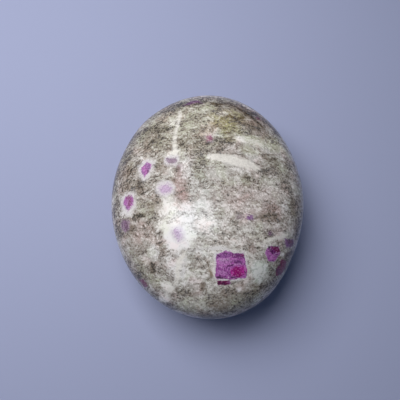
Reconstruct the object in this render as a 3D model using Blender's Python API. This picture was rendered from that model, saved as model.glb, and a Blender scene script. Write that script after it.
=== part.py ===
"""Palm stone of ruby in albite: one pebble, ground to an oval and polished all over.

Metres, +Z up. The stone lies on its small flat spot, with its long way along Y and its wide way
along X. The origin is on the ground, under the middle of the stone's box.
"""

import math

import bmesh
import bpy
from mathutils import Vector

LENGTH = 0.0600  # blunt end to narrow end, along Y
WIDTH = 0.0508  # side to side at the girth, along X
THICKNESS = 0.0280  # flat spot to crown, along Z
GIRTH_HEIGHT = 0.0134  # from the ground to the widest ring
FLAT_DEPTH = 0.00036  # how much of the belly is ground away for the flat spot

CROWN_FULLNESS = 2.20  # 2 is an ellipse, and more is fuller towards a box
BELLY_FULLNESS = 2.14

AROUND = 72  # corners in each level ring
RINGS = 38  # bands from the belly to the crown

# Where the hand on the wheel left the outline fuller or leaner than an ellipse.
# Each is its bearing from +X towards +Y, how far it spreads, and its share of the radius.
OUTLINE_SWELLS = (
    (math.radians(20), math.radians(30), -0.022),
    (math.radians(90), math.radians(40), 0.020),
    (math.radians(134), math.radians(12), 0.011),
    (math.radians(210), math.radians(30), -0.011),
    (math.radians(300), math.radians(25), 0.009),
    (math.radians(335), math.radians(25), -0.036),
)

# Shallow facets of the grinding, worn soft by the polish.
# Each is the way it faces, how far it spreads over the ball, and how deep it goes.
SOFT_FACETS = (
    ((0.55, 0.30, 0.78), math.radians(24), 0.00022),
    ((-0.62, 0.52, 0.58), math.radians(22), 0.00026),
    ((-0.30, -0.74, 0.60), math.radians(26), 0.00020),
    ((0.78, -0.52, -0.35), math.radians(28), 0.00030),
    ((-0.80, -0.10, -0.58), math.radians(26), 0.00024),
)

STONE_COLOUR = (0.42, 0.39, 0.36, 1.0)  # cream and grey albite with brown mica, seen from afar
POLISH_ROUGHNESS = 0.22


def fullness_reach(flat, upright, fullness):
    """How far out the profile lies in a direction whose level and upright parts are given."""
    return (abs(flat) ** fullness + abs(upright) ** fullness) ** (-1 / fullness)


def outline_swell(direction):
    """The share of the ellipse's radius that the outline keeps on this bearing."""
    bearing = math.atan2(direction.y, direction.x)
    share = 1.0
    for swell_bearing, spread, amount in OUTLINE_SWELLS:
        turn = math.remainder(bearing - swell_bearing, math.tau)
        share += amount * math.exp(-((turn / spread) ** 2))
    return share


def facet_depth(direction):
    """How far the soft facets lie under the round form here."""
    depth = 0.0
    for facing, spread, deepest in SOFT_FACETS:
        turn = direction.angle(Vector(facing))
        depth += deepest * math.exp(-((turn / spread) ** 2))
    return depth


def place_on_stone(direction):
    """The point of the stone, measured from its middle, that lies along a direction of the ball."""
    above = direction.z >= 0
    fullness = CROWN_FULLNESS if above else BELLY_FULLNESS
    half_height = THICKNESS - GIRTH_HEIGHT if above else GIRTH_HEIGHT + FLAT_DEPTH
    level = math.hypot(direction.x, direction.y)
    reach = fullness_reach(level, direction.z, fullness)
    swell = outline_swell(direction)
    place = Vector(
        (
            WIDTH / 2 * direction.x * reach * swell,
            LENGTH / 2 * direction.y * reach * swell,
            half_height * direction.z * reach,
        )
    )
    return place - direction * facet_depth(direction)


def grind_flat_spot(bm):
    """Cuts the belly off level with the ground and closes the cut with one flat face."""
    everything = bm.verts[:] + bm.edges[:] + bm.faces[:]
    bmesh.ops.bisect_plane(
        bm, geom=everything, dist=1e-7, plane_co=(0, 0, 0), plane_no=(0, 0, -1), clear_outer=True
    )
    rim = [edge for edge in bm.edges if edge.is_boundary]
    bmesh.ops.contextual_create(bm, geom=rim)
    for edge in rim:
        edge.smooth = False


def fit_to_size(bm):
    """Scales the stone to its length and width, and centres it over the origin."""
    lows = Vector([min(vert.co[i] for vert in bm.verts) for i in range(3)])
    highs = Vector([max(vert.co[i] for vert in bm.verts) for i in range(3)])
    sides = highs - lows
    middle = Vector(((lows.x + highs.x) / 2, (lows.y + highs.y) / 2, lows.z))
    bmesh.ops.translate(bm, vec=-middle, verts=bm.verts)
    growth = Vector((WIDTH / sides.x, LENGTH / sides.y, THICKNESS / sides.z))
    bmesh.ops.scale(bm, vec=growth, verts=bm.verts)


def polished_stone():
    """The stone's plain material."""
    material = bpy.data.materials.new("polished_ruby_in_albite")
    material.use_nodes = True
    shader = material.node_tree.nodes["Principled BSDF"]
    shader.inputs["Base Color"].default_value = STONE_COLOUR
    shader.inputs["Roughness"].default_value = POLISH_ROUGHNESS
    shader.inputs["Metallic"].default_value = 0.0
    material.diffuse_color = STONE_COLOUR
    return material


def palm_stone(collection):
    """The whole stone as one closed solid."""
    bm = bmesh.new()
    bmesh.ops.create_uvsphere(bm, u_segments=AROUND, v_segments=RINGS, radius=1.0)
    for vert in bm.verts:
        vert.co = place_on_stone(vert.co.normalized())
    bmesh.ops.translate(bm, vec=(0, 0, GIRTH_HEIGHT), verts=bm.verts)
    grind_flat_spot(bm)
    fit_to_size(bm)
    bmesh.ops.recalc_face_normals(bm, faces=bm.faces)
    for face in bm.faces:
        face.smooth = True
    mesh = bpy.data.meshes.new("palm_stone")
    bm.to_mesh(mesh)
    bm.free()
    mesh.materials.append(polished_stone())
    stone = bpy.data.objects.new("palm_stone", mesh)
    collection.objects.link(stone)
    return stone


def clear_scene():
    """Removes every object that the scene starts with."""
    for obj in list(bpy.data.objects):
        bpy.data.objects.remove(obj, do_unlink=True)


def main():
    clear_scene()
    collection = bpy.data.collections.new("ruby_in_albite_palm_stone")
    bpy.context.scene.collection.children.link(collection)
    palm_stone(collection)


main()
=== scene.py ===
"""Polished palm stone of ruby in albite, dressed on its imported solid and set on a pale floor.

Marks are given in millimetres, and a mark's place is its plan place on the stone, right and away
from the middle. Only the seen patches are given as they were read, in pixels of the photograph, and
PhotoView works out where they lie on the stone. Everything that goes to Blender is metres.
"""

import math
from typing import NamedTuple

import bmesh
import bpy
import numpy as np
from bpy.props import FloatProperty, FloatVectorProperty, IntProperty, PointerProperty
from mathutils import Matrix, Vector, noise
from mathutils.bvhtree import BVHTree


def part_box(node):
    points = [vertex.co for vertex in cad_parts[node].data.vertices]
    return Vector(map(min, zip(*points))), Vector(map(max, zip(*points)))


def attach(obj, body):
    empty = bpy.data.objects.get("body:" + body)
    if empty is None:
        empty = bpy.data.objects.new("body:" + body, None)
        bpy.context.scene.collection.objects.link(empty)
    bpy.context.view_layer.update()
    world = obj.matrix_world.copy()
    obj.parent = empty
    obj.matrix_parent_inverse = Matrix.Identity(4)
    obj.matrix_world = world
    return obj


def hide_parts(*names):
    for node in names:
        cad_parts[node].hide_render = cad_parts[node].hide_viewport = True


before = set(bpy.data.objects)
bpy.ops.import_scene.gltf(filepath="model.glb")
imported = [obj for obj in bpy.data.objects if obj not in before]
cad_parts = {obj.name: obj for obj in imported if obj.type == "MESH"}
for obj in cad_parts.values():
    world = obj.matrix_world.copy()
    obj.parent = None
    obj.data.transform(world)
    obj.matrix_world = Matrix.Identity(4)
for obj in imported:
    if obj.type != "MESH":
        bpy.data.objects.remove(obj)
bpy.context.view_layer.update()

bl_info = {
    "name": "Ruby in Albite Palm Stone",
    "version": (1, 0, 0),
    "blender": (4, 5, 0),
    "location": "3D View > Sidebar > Palm Stone",
    "description": "Makes a polished palm stone of ruby in albite and a pale stage for it",
    "category": "Object",
}

NODE = "palm_stone"
MM = 0.001

box_low, box_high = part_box(NODE)
STONE_WIDTH, STONE_LENGTH, STONE_THICKNESS = (high - low for low, high in zip(box_low, box_high))


def length_property(name, description, default):
    """A length that a user would change, in metres."""
    return FloatProperty(name=name, description=description, default=default, unit="LENGTH")


def plain_property(name, description, default):
    """A number without a unit that a user would change."""
    return FloatProperty(name=name, description=description, default=default)


def power_property(name, description, default):
    """A light's power in watts."""
    return FloatProperty(name=name, description=description, default=default, unit="POWER")


def angle_property(name, description, degrees):
    """An angle that a user would change."""
    return FloatProperty(
        name=name, description=description, default=math.radians(degrees), subtype="ANGLE"
    )


def colour_property(name, description, default):
    """A colour that a user would change, with linear values."""
    return FloatVectorProperty(
        name=name, description=description, default=default, subtype="COLOR", min=0, max=1
    )


class StoneSizes(bpy.types.PropertyGroup):
    """The stone's form and polish."""

    width: length_property("Width", "Side to side at the girth", STONE_WIDTH)
    length: length_property("Length", "Blunt end to narrow end", STONE_LENGTH)
    thickness: length_property("Thickness", "Flat spot to crown", STONE_THICKNESS)
    girth_height: length_property("Girth height", "From the ground to the widest ring", 0.0134)
    flat_depth: length_property("Flat depth", "Belly ground away for the flat spot", 0.00036)
    crown_fullness: plain_property("Crown fullness", "2 is an ellipse, more is fuller", 2.20)
    belly_fullness: plain_property("Belly fullness", "2 is an ellipse, more is fuller", 2.14)
    fineness: IntProperty(
        name="Fineness", description="Times the ball of triangles is divided", default=7
    )
    ruby_stand: length_property("Ruby stand", "How far rubies stand out of the polish", 0.000018)
    crack_depth: length_property("Crack depth", "Depth of the cracks in a ruby", 0.00009)
    wheel_wave: length_property("Wheel wave", "Slow waves that the grinding wheel left", 0.00005)


class StoneColours(bpy.types.PropertyGroup):
    """The stone's minerals."""

    albite: colour_property("Albite", "The pale rock between the marks", (0.60, 0.57, 0.535))
    cream: colour_property("Cream", "Cream veins and patches", (0.92, 0.88, 0.82))
    # White also paints a glint on the main ruby and part of a highlight over the middle, besides the
    # feldspar.
    white: colour_property("White", "White feldspar round the rubies", (0.84, 0.81, 0.81))
    green: colour_property("Green", "Patches with a green cast", (0.56, 0.55, 0.41))
    mint: colour_property("Mint", "Cool bluish green patches", (0.56, 0.60, 0.56))
    olive: colour_property("Olive", "Yellow olive stain", (0.46, 0.41, 0.21))
    pink: colour_property("Pink", "Rock with a pink cast", (0.62, 0.51, 0.49))
    rose: colour_property("Rose", "Pink brown stain", (0.44, 0.33, 0.31))
    # Grey and brown also paint shade along the rim, besides the mica-rich rock.
    grey: colour_property("Grey", "Grey rock full of fine mica", (0.42, 0.405, 0.34))
    brown: colour_property("Brown", "Brown rock full of mica", (0.40, 0.34, 0.29))
    mica: colour_property("Mica", "The dark flakes", (0.030, 0.024, 0.018))
    mica_haze: colour_property("Mica haze", "Flakes that show through the rock", (0.205, 0.15, 0.11))
    magenta: colour_property("Magenta", "The usual ruby", (0.46, 0.12, 0.44))
    hot: colour_property("Hot ruby", "Ruby that light shines through", (0.54, 0.03, 0.34))
    deep: colour_property("Deep ruby", "The clearest and reddest ruby", (0.33, 0.006, 0.15))
    crimson: colour_property("Crimson", "Dark red streaks", (0.18, 0.012, 0.075))
    purple: colour_property("Purple", "Strong purple", (0.16, 0.004, 0.16))
    plum: colour_property("Plum", "Dull purple", (0.25, 0.10, 0.30))
    plum_deep: colour_property("Deep plum", "Dark purple spots", (0.10, 0.02, 0.10))
    lilac: colour_property("Lilac", "Ruby where it is thin", (0.56, 0.24, 0.56))
    lilac_pale: colour_property("Pale lilac", "The palest ruby", (0.61, 0.43, 0.64))
    mauve: colour_property("Mauve", "Ruby turned to mica", (0.33, 0.24, 0.31))
    orchid: colour_property("Orchid", "Bright pink purple", (0.62, 0.23, 0.60))
    parting: colour_property("Parting", "Thin light lines in a ruby", (0.68, 0.36, 0.67))
    crack: colour_property("Crack", "Open cracks", (0.014, 0.003, 0.014))


class StageSettings(bpy.types.PropertyGroup):
    """The floor, the lights and the camera."""

    floor: colour_property("Floor", "The plain pale floor", (0.42, 0.455, 0.66))
    sky: colour_property("Sky", "The soft light from all round", (0.55, 0.72, 1.0))
    sky_strength: plain_property("Sky strength", "Light from all round", 0.09)
    window_power: power_property("Window power", "The large soft light", 0.58)
    window_size: length_property("Window size", "Side of the large soft light", 0.18)
    panel_power: power_property("Panel power", "The light whose gloss shows", 0.30)
    panel_size: length_property("Panel size", "Longer side of the light overhead", 0.19)
    lens: FloatProperty(
        name="Lens", description="Focal length on a 36 mm frame", default=40.86, unit="CAMERA"
    )
    camera_distance: length_property("Camera distance", "From the lens to the stone's middle", 0.12078)
    camera_height: angle_property("Camera height", "Angle above the horizon", 77)
    camera_bearing: angle_property("Camera bearing", "How far the view heads to the right of +Y", 17)


# Where the hand on the wheel left the outline fuller or leaner than an ellipse.
# Each is its bearing from +X towards +Y, how far it spreads, and its share of the radius.
OUTLINE_SWELLS = (
    (math.radians(20), math.radians(30), -0.022),
    (math.radians(90), math.radians(40), 0.020),
    (math.radians(134), math.radians(12), 0.011),
    (math.radians(210), math.radians(30), -0.011),
    (math.radians(300), math.radians(25), 0.009),
    (math.radians(335), math.radians(25), -0.036),
)

# Shallow facets of the grinding, worn soft by the polish.
# Each is the way it faces, how far it spreads over the ball, and how deep it goes.
SOFT_FACETS = (
    ((0.55, 0.30, 0.78), math.radians(24), 0.00022),
    ((-0.62, 0.52, 0.58), math.radians(22), 0.00026),
    ((-0.30, -0.74, 0.60), math.radians(26), 0.00020),
    ((0.78, -0.52, -0.35), math.radians(28), 0.00030),
    ((-0.80, -0.10, -0.58), math.radians(26), 0.00024),
)


class Stroke(NamedTuple):
    """A soft brush stroke inside a ruby, in millimetres right and up from the ruby's middle."""

    colour: str
    start: tuple
    end: tuple
    half_width: float
    strength: float = 1.0


class Ruby(NamedTuple):
    """A ruby crystal cut by the surface. Its outline is in millimetres right and up from its middle."""

    at: tuple
    outline: tuple
    colour: str
    strength: float = 1.0  # under 1 the rock shows through it
    mottle: float = 1.0  # how speckled it is
    soft: float = 0.12  # millimetres over which its edge fades
    halo: float = 0.5  # millimetres of white feldspar round it
    halo_strength: float = 0.5
    strokes: tuple = ()
    crown: bool = True


class Vein(NamedTuple):
    """A vein along points that are each right, away, and half the vein's width, in millimetres."""

    kind: str  # cream, white or dark
    points: tuple
    crown: bool = True


class Cloud(NamedTuple):
    """A soft-edged patch of rock of another colour, in photo pixels if seen, or in millimetres; along the
    rim some also hold painted shade, and one over the middle a painted highlight.
    """

    at: tuple
    radii: tuple  # right and up
    turn: float  # degrees, from right towards up
    colour: str
    strength: float
    mica: float = 0.0  # more or less mica here
    crown: bool = True


RUBIES = (
    Ruby(
        at=(4.2, -17.4),
        outline=(
            (-3.1, 2.4), (-1.9, 2.9), (-1.0, 3.3), (0.2, 3.1), (0.8, 2.8), (3.3, 2.8), (3.8, 0.9),
            (4.4, -1.7), (4.2, -3.1), (0.7, -3.5), (-2.9, -3.4), (-3.2, -2.7), (-3.1, 0.1),
            (-3.2, 1.5),
        ),
        colour="magenta", halo=0.6, halo_strength=0.85,
        strokes=(
            Stroke("plum", (-2.8, 2.0), (-0.2, 2.4), 0.62, 0.6),
            Stroke("plum_deep", (1.0, 2.4), (3.2, 2.1), 0.57, 0.7),
            Stroke("plum_deep", (-1.3, 2.8), (-0.8, 2.6), 0.24, 0.8),
            Stroke("plum_deep", (-2.7, 2.2), (-2.4, 2.0), 0.21, 0.8),
            Stroke("crimson", (2.8, 2.4), (3.3, 2.3), 0.24, 0.8),
            Stroke("lilac", (-1.6, 3.0), (0.0, 3.1), 0.17, 0.6),
            Stroke("parting", (-3.1, 1.0), (-2.0, 1.3), 0.11, 0.9),
            Stroke("parting", (-2.0, 1.3), (-0.4, 1.5), 0.11, 0.95),
            Stroke("parting", (-0.4, 1.5), (0.5, 1.9), 0.09, 0.8),
            Stroke("orchid", (-2.4, 0.1), (-0.7, -0.6), 0.9, 0.4),
            Stroke("lilac", (-2.0, 0.5), (0.1, 0.8), 0.47, 0.75),
            Stroke("purple", (-2.8, -0.5), (-1.9, -1.4), 0.35, 0.45),
            Stroke("purple", (-1.5, -1.0), (-0.3, -1.9), 0.3, 0.45),
            Stroke("purple", (0.9, 0.9), (2.8, 0.6), 0.4, 0.5),
            Stroke("lilac_pale", (-2.2, 1.0), (-0.2, 1.2), 0.22, 0.5),
            Stroke("parting", (-1.3, 0.0), (-0.6, 0.5), 0.09, 0.6),
            Stroke("parting", (-2.4, -0.4), (-1.4, -0.7), 0.11, 0.6),
            Stroke("parting", (0.1, 0.7), (0.8, 1.3), 0.09, 0.55),
            Stroke("plum_deep", (-0.7, -0.6), (-0.2, -0.2), 0.17, 0.8),
            Stroke("plum_deep", (-0.2, -0.2), (0.6, 0.0), 0.19, 0.8),
            Stroke("plum_deep", (1.3, 0.5), (1.5, 0.6), 0.19, 0.85),
            Stroke("plum_deep", (2.0, 0.9), (2.6, 0.8), 0.26, 0.8),
            Stroke("plum", (1.5, 1.1), (2.8, 0.4), 0.33, 0.4),
            Stroke("parting", (0.8, 1.2), (1.6, 1.5), 0.12, 0.5),
            Stroke("orchid", (3.1, 1.5), (3.5, 0.5), 0.17, 0.6),
            Stroke("parting", (0.9, 0.0), (2.0, 0.2), 0.09, 0.8),
            Stroke("parting", (2.0, 0.2), (3.7, 0.2), 0.09, 0.75),
            Stroke("hot", (1.2, -1.7), (3.4, -1.3), 1.0, 0.95),
            Stroke("deep", (1.7, -1.1), (2.4, -2.3), 0.75, 0.85),
            Stroke("deep", (0.9, -2.3), (2.9, -2.7), 0.24, 0.5),
            Stroke("orchid", (3.7, -0.2), (4.2, -2.9), 0.14, 0.8),
            Stroke("orchid", (0.9, -3.3), (4.0, -3.0), 0.12, 0.7),
            Stroke("plum_deep", (3.8, -1.6), (4.3, -2.3), 0.17, 0.75),
            Stroke("lilac", (-2.6, -1.9), (-0.7, -2.1), 0.4, 0.75),
            Stroke("parting", (-2.7, -1.5), (-1.2, -1.6), 0.09, 0.5),
            Stroke("plum", (-0.1, -0.8), (0.4, -2.6), 0.19, 0.55),
            Stroke("plum_deep", (-2.3, -2.5), (-0.9, -2.9), 0.14, 0.7),
            Stroke("crack", (-2.8, -3.0), (-1.6, -3.2), 0.21, 0.95),
            Stroke("crack", (-1.6, -3.2), (-0.4, -3.4), 0.15, 0.9),
            Stroke("crack", (0.7, -3.1), (1.4, -2.9), 0.18, 0.8),
            Stroke("crack", (1.5, -3.2), (3.1, -3.3), 0.11, 0.75),
            # A painted glint: a spot of highlight on the crack's edge, in white.
            Stroke("white", (-0.1, -2.9), (-0.1, -2.9), 0.13, 0.9),
        ),
    ),
    Ruby(
        at=(3.0, -21.4),
        outline=((-1.6, 0.5), (1.4, 0.55), (1.6, -0.3), (1.2, -0.5), (-1.4, -0.6)),
        colour="crimson", halo=0.4, halo_strength=0.5,
        strokes=(
            Stroke("crack", (-1.3, -0.1), (-1.0, -0.2), 0.19, 0.7),
            Stroke("crack", (-0.3, -0.2), (0.1, -0.3), 0.24, 0.65),
            Stroke("lilac", (1.2, 0.2), (1.6, -0.2), 0.19, 0.6),
        ),
    ),
    Ruby(
        at=(14.7, -14.5),
        outline=(
            (-1.3, 1.8), (1.9, 1.9), (2.6, 0.3), (1.7, -1.2), (0.9, -2.0), (-0.7, -1.8),
            (-2.0, 0.0), (-1.7, 1.2),
        ),
        colour="magenta", halo=0.5, halo_strength=0.35,
        strokes=(
            Stroke("lilac", (-1.8, 0.9), (-1.1, -0.6), 0.52, 0.65),
            Stroke("purple", (-1.2, 0.2), (-0.9, -0.9), 0.3, 0.55),
            Stroke("crimson", (0.3, 1.3), (1.7, 0.9), 0.75, 0.95),
            Stroke("purple", (-0.1, 0.7), (1.2, -0.2), 0.5, 0.9),
            Stroke("crack", (-1.2, 1.8), (-0.5, 0.9), 0.35, 0.9),
            Stroke("plum_deep", (-0.5, 0.9), (0.1, 0.2), 0.24, 0.9),
            Stroke("crack", (0.0, 1.9), (1.8, 1.7), 0.17, 0.75),
            Stroke("parting", (0.3, -0.3), (2.2, 0.5), 0.12, 0.8),
            Stroke("parting", (0.5, -0.6), (2.1, -0.3), 0.11, 0.6),
            Stroke("orchid", (-0.9, 0.2), (0.1, -1.4), 0.27, 0.75),
            Stroke("orchid", (0.0, -0.8), (1.0, -1.3), 0.18, 0.6),
            Stroke("plum", (-0.1, -1.9), (0.9, -2.1), 0.39, 0.7),
        ),
    ),
    Ruby(
        at=(19.5, -11.6),
        outline=((-1.8, 0.9), (1.4, 1.1), (2.4, 0.2), (1.3, -1.0), (-0.8, -1.1), (-1.6, -0.2)),
        colour="plum", strength=0.9, mottle=0.45, soft=0.3, halo=0.9, halo_strength=0.25,
        strokes=(
            Stroke("plum_deep", (-0.3, 0.8), (1.2, -0.1), 0.88, 0.85),
            Stroke("crimson", (0.5, 0.5), (1.0, 0.3), 0.35, 0.6),
        ),
    ),
    Ruby(
        at=(17.4, -17.6),
        outline=(
            (-0.6, 2.2), (1.8, 1.8), (2.7, 0.0), (1.4, -2.0), (-0.7, -2.2), (-1.7, -0.8),
            (-1.0, 0.8),
        ),
        colour="crimson", strength=0.95, mottle=0.45, soft=0.2, halo=0.3, halo_strength=0.1,
        strokes=(
            Stroke("crimson", (0.0, 2.4), (-0.7, 0.4), 0.35, 0.9),
            Stroke("crimson", (1.7, 1.6), (0.8, -0.5), 0.4, 0.9),
            Stroke("crack", (-1.7, -0.9), (-1.4, -1.0), 0.35, 0.85),
            Stroke("crack", (-0.7, 0.6), (-0.3, 0.5), 0.27, 0.8),
            Stroke("plum_deep", (-1.0, -0.6), (0.6, -1.6), 0.5, 0.7),
        ),
    ),
    Ruby(
        at=(8.9, -6.4),
        outline=((-0.7, 0.6), (0.8, 0.6), (1.0, -0.3), (-0.1, -0.6), (-0.9, -0.3)),
        colour="plum", strength=0.9, mottle=0.5, soft=0.3, halo=0.8, halo_strength=0.1,
    ),
    Ruby(
        at=(6.6, -6.3),
        outline=((-1.1, 0.6), (0.9, 0.7), (1.1, -0.4), (-1.0, -0.6)),
        colour="mauve", strength=0.4, mottle=0.5, soft=0.4, halo=0.5, halo_strength=0.0,
    ),
    Ruby(
        at=(-0.5, 13.3),
        outline=((-0.8, 0.4), (0.1, 1.1), (0.7, 0.3), (0.5, -0.8), (-0.4, -0.9)),
        colour="deep", strength=0.6, mottle=0.7, soft=0.5, halo=0.9, halo_strength=0.2,
    ),
    Ruby(
        at=(-15.9, 5.8),
        outline=(
            (0.0, 1.9), (1.4, 1.0), (1.3, -0.1), (0.5, -1.3), (-0.2, -2.2), (-1.3, -0.7),
            (-1.3, 0.4), (-0.6, 1.1),
        ),
        colour="magenta", strength=0.9, soft=0.2, halo=1.1, halo_strength=1.1,
        strokes=(
            Stroke("plum", (0.1, 1.3), (1.1, -0.3), 0.46, 0.75),
            Stroke("plum_deep", (0.5, -0.5), (0.5, -1.0), 0.22, 0.7),
            Stroke("plum", (-1.4, 0.0), (-0.5, -1.6), 0.3, 0.7),
            Stroke("orchid", (-0.4, 0.3), (-0.5, -0.4), 0.27, 0.9),
        ),
    ),
    Ruby(
        at=(-9.7, 7.4),
        outline=((-1.2, 0.8), (1.0, 0.7), (1.3, -0.1), (0.9, -0.8), (-0.7, -0.6), (-1.3, 0.0)),
        colour="mauve", strength=0.95, mottle=0.25, soft=0.3, halo=0.9, halo_strength=0.8,
    ),
    Ruby(
        at=(-11.1, 0.3),
        outline=(
            (-1.0, 1.0), (0.6, 1.1), (1.5, 0.4), (1.2, -0.6), (0.2, -1.2), (-1.0, -0.9),
            (-1.4, 0.2),
        ),
        colour="lilac_pale", strength=0.85, mottle=0.35, soft=0.5, halo=1.1, halo_strength=1.1,
    ),
    Ruby(
        at=(-20.0, -2.0),
        outline=(
            (0.2, 1.5), (1.1, 1.2), (1.5, 0.1), (1.3, -1.1), (-0.3, -2.3), (-1.6, -0.7),
            (-1.7, 0.3), (-1.0, 1.2),
        ),
        colour="magenta", strength=0.9, soft=0.25, halo=1.4, halo_strength=1.1,
        strokes=(
            Stroke("crimson", (0.0, 1.2), (0.2, -0.6), 0.7, 0.75),
            Stroke("orchid", (-0.2, 0.4), (-0.4, -0.7), 0.26, 0.65),
            Stroke("orchid", (0.5, -0.6), (1.1, -1.1), 0.13, 0.5),
            Stroke("plum", (-1.0, -1.1), (-0.4, -2.0), 0.35, 0.55),
        ),
    ),
    Ruby(
        at=(-20.7, -7.7),
        outline=(
            (-0.7, 1.4), (1.1, 1.3), (1.6, 0.2), (1.1, -1.2), (-0.5, -1.7), (-1.6, -0.7),
            (-1.6, 0.7),
        ),
        colour="mauve", strength=0.85, mottle=1.0, soft=0.4, halo=0.4, halo_strength=0.1,
        strokes=(
            Stroke("plum_deep", (-1.1, 0.8), (-1.2, -0.2), 0.25, 0.6),
            Stroke("plum_deep", (0.0, 0.9), (0.4, -0.9), 0.6, 0.6),
        ),
    ),
    Ruby(
        at=(-7.9, -10.4),
        outline=(
            (-0.8, 1.2), (0.5, 1.4), (1.1, 0.4), (0.9, -1.1), (0.1, -1.6), (-0.7, -0.7),
            (-1.1, 0.3),
        ),
        colour="lilac_pale", strength=0.8, mottle=0.6, soft=0.6, halo=0.9, halo_strength=0.8,
        strokes=(
            Stroke("plum", (-0.3, 0.4), (0.1, 0.3), 0.17, 0.7),
            Stroke("plum", (-0.1, -0.2), (0.0, -0.5), 0.14, 0.6),
            Stroke("plum", (-0.2, -1.0), (0.0, -1.1), 0.14, 0.7),
        ),
    ),
    Ruby(
        at=(-16.1, -21.5),
        outline=((-1.0, 1.3), (1.0, 1.2), (1.2, -0.8), (-1.2, -1.5)),
        colour="crimson", strength=0.8, soft=0.3, halo=0.4, halo_strength=0.2,
    ),
    Ruby(
        at=(-4.6, 24.7),
        outline=(
            (-2.7, -0.9), (-1.5, 0.1), (-0.3, 1.4), (1.3, 1.5), (2.9, -0.3), (0.9, 0.0),
            (-0.8, -0.7),
        ),
        colour="plum_deep", strength=0.8, soft=0.35, halo_strength=0.0,
    ),
    Ruby(
        at=(12.4, 20.9),
        outline=((-0.9, 0.3), (0.3, 0.8), (1.0, -0.2), (0.0, -0.7)),
        colour="crimson", strength=0.5, soft=0.4, halo=0.8, halo_strength=0.2,
    ),
    Ruby(
        at=(14.1, -9.8),
        outline=((-0.6, 0.5), (0.6, 0.4), (0.7, -0.5), (-0.5, -0.5)),
        colour="plum_deep", strength=0.7, soft=0.3, halo_strength=0.0,
    ),
    Ruby(
        at=(-7.5, 9.0),
        outline=(
            (-2.1, 1.2), (-0.4, 2.2), (1.6, 1.7), (2.4, 0.1), (1.3, -1.7), (-0.9, -1.9), (-2.3, -0.4),
        ),
        colour="magenta", halo=0.8, halo_strength=0.8,
        strokes=(
            Stroke("plum_deep", (-1.6, 0.9), (0.2, 1.5), 0.4, 0.8),
            Stroke("hot", (0.2, -1.0), (1.5, -0.3), 0.6, 0.8),
            Stroke("parting", (-1.8, -0.2), (1.9, 0.5), 0.1, 0.8),
            Stroke("crack", (-1.0, -1.5), (0.8, -1.4), 0.14, 0.8),
        ),
        crown=False,
    ),
    Ruby(
        at=(6.5, -5.5),
        outline=((-1.4, 1.0), (0.6, 1.6), (1.8, 0.4), (1.2, -1.2), (-0.6, -1.5), (-1.7, -0.3)),
        colour="lilac", strength=0.9, soft=0.25, halo=1.0, halo_strength=0.9,
        strokes=(Stroke("plum_deep", (-0.8, 0.5), (0.7, -0.3), 0.4, 0.7),),
        crown=False,
    ),
    Ruby(
        at=(13.5, 9.5),
        outline=((-1.2, 0.7), (0.1, 1.2), (1.3, 0.5), (0.9, -0.9), (-0.8, -1.0)),
        colour="crimson", strength=0.9, soft=0.2, halo_strength=0.6, crown=False,
    ),
    Ruby(
        at=(-12.5, -7.0),
        outline=((-0.8, 0.9), (0.6, 1.1), (1.1, 0.0), (0.3, -1.1), (-1.0, -0.6)),
        colour="mauve", strength=0.8, soft=0.3, halo=0.7, crown=False,
    ),
    Ruby(
        at=(-2.0, -19.5),
        outline=((-1.7, 0.6), (0.2, 1.3), (1.9, 0.8), (1.6, -0.7), (-0.2, -1.2), (-1.5, -0.8)),
        colour="magenta", soft=0.2, halo=0.7, halo_strength=0.7,
        strokes=(Stroke("crimson", (0.2, 0.2), (1.2, 0.0), 0.5, 0.8),),
        crown=False,
    ),
    Ruby(
        at=(5.0, 27.6),
        outline=((-1.0, 0.6), (0.4, 1.0), (1.2, 0.0), (0.2, -0.9), (-0.9, -0.5)),
        colour="lilac_pale", strength=0.8, mottle=0.5, soft=0.4, halo=1.0, halo_strength=0.8, crown=False,
    ),
    Ruby(
        at=(-23.6, 6.5),
        outline=((-1.1, 1.2), (0.9, 1.6), (1.6, -0.3), (0.2, -1.7), (-1.5, -0.6)),
        colour="magenta", soft=0.2, halo=0.8, halo_strength=0.8,
        strokes=(Stroke("plum_deep", (-0.4, 0.4), (0.4, -0.5), 0.35, 0.7),),
        crown=False,
    ),
    Ruby(
        at=(23.5, -2.0),
        outline=((-1.3, 1.4), (0.6, 1.7), (1.5, 0.2), (0.9, -1.5), (-0.9, -1.2)),
        colour="plum", soft=0.25, halo=0.7, halo_strength=0.6,
        strokes=(Stroke("crimson", (-0.2, 0.6), (0.5, -0.4), 0.5, 0.8),),
        crown=False,
    ),
    Ruby(
        at=(9.0, -26.0),
        outline=((-1.2, 0.9), (0.6, 1.3), (1.4, -0.1), (0.2, -1.3), (-1.2, -0.6)),
        colour="crimson", strength=0.8, soft=0.3, halo=0.6, crown=False,
    ),
)

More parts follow.
